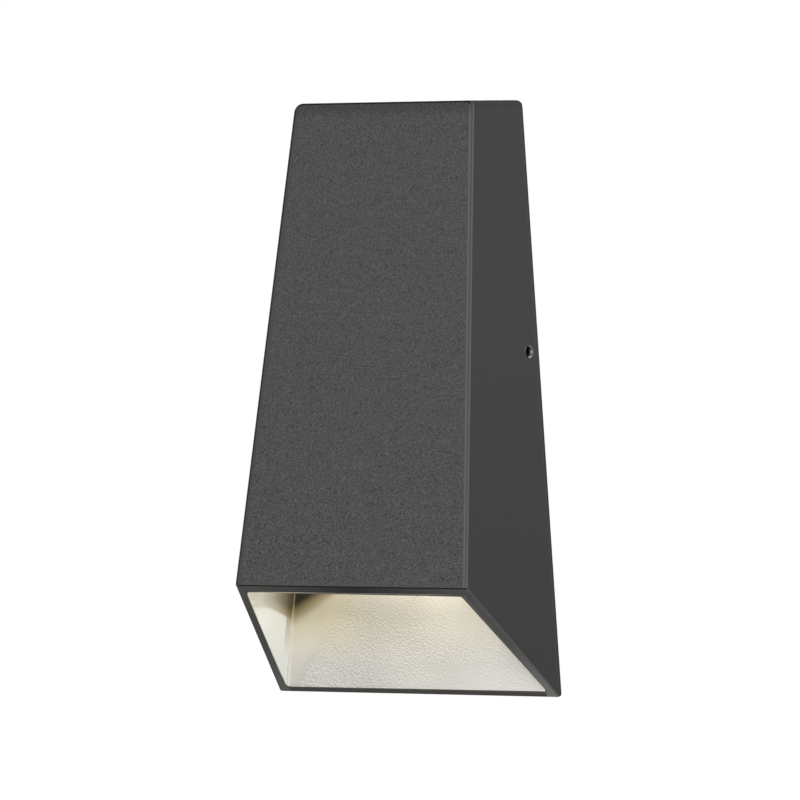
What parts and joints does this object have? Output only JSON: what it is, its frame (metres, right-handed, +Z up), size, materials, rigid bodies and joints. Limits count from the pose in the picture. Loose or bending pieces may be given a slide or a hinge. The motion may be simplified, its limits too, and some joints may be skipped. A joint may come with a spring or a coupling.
{
  "type": "outdoor wall light",
  "caption": "Wedge-shaped outdoor wall light with a closed top and a slanted open mouth lined in white, shining down from a lens inside; hangs on a bracket by side set screws.",
  "frame": {"origin": "middle of the wall bracket's junction-box hole pattern, on the wall plane, level with the side set screws", "axes": "+X to the light's right seen from the front, +Y into the wall, +Z up"},
  "size_m": [0.1384, 0.0607, 0.254],
  "materials": {
    "dark_coat": "cast aluminium under a charcoal powder coat, fine sand texture, matt",
    "white_coat": "aluminium under a warm white powder coat with orange-peel texture",
    "lens_glass": "frosted tempered glass",
    "grey_silicone": "grey silicone, matt",
    "black_rubber": "black rubber, matt",
    "foam": "black closed-cell foam",
    "steel": "zinc-plated steel",
    "black_steel": "black-oxide alloy steel",
    "zinc_steel": "zinc-plated sheet steel",
    "raw_aluminium": "mill-finish aluminium sheet",
    "board_white": "white solder mask on a metal-core board",
    "phosphor": "yellow phosphor under clear silicone",
    "driver_plastic": "moulded dark grey plastic case",
    "lead_plastic": "insulated lead",
    "ground_green": "green-dyed steel screw"
  },
  "bodies": {
    "bracket": {"wall_bracket": "zinc_steel", "ground_screw": "ground_green"},
    "light": {"housing": "dark_coat", "reflector": "white_coat", "reflector_screws": "white_coat", "lens": "lens_glass", "lens_gasket": "grey_silicone", "lens_frame": "white_coat", "lens_frame_screws": "steel", "led_board": "board_white", "led_emitter": "phosphor", "led_board_screws": "steel", "thermal_pad": "grey_silicone", "led_leads": "lead_plastic", "lead_grommet": "black_rubber", "driver": "driver_plastic", "driver_screws": "steel", "rear_cover": "raw_aluminium", "rear_cover_gasket": "black_rubber", "rear_cover_screws": "steel", "cable_grommet": "black_rubber", "wall_gasket": "foam"},
    "left_screw": {"set_screw_left": "black_steel"},
    "right_screw": {"set_screw_right": "black_steel"}
  },
  "joints": [
    {"name": "light_off_bracket", "type": "slide", "parent": "bracket", "child": "light", "axis": [0, -1, 0], "range_m": [0, 0.06]},
    {"name": "set_screw_left_out", "type": "slide", "parent": "light", "child": "left_screw", "axis": [-1, 0, 0], "range_m": [0, 0.003]},
    {"name": "set_screw_right_out", "type": "slide", "parent": "light", "child": "right_screw", "axis": [1, 0, 0], "range_m": [0, 0.003]}
  ]
}
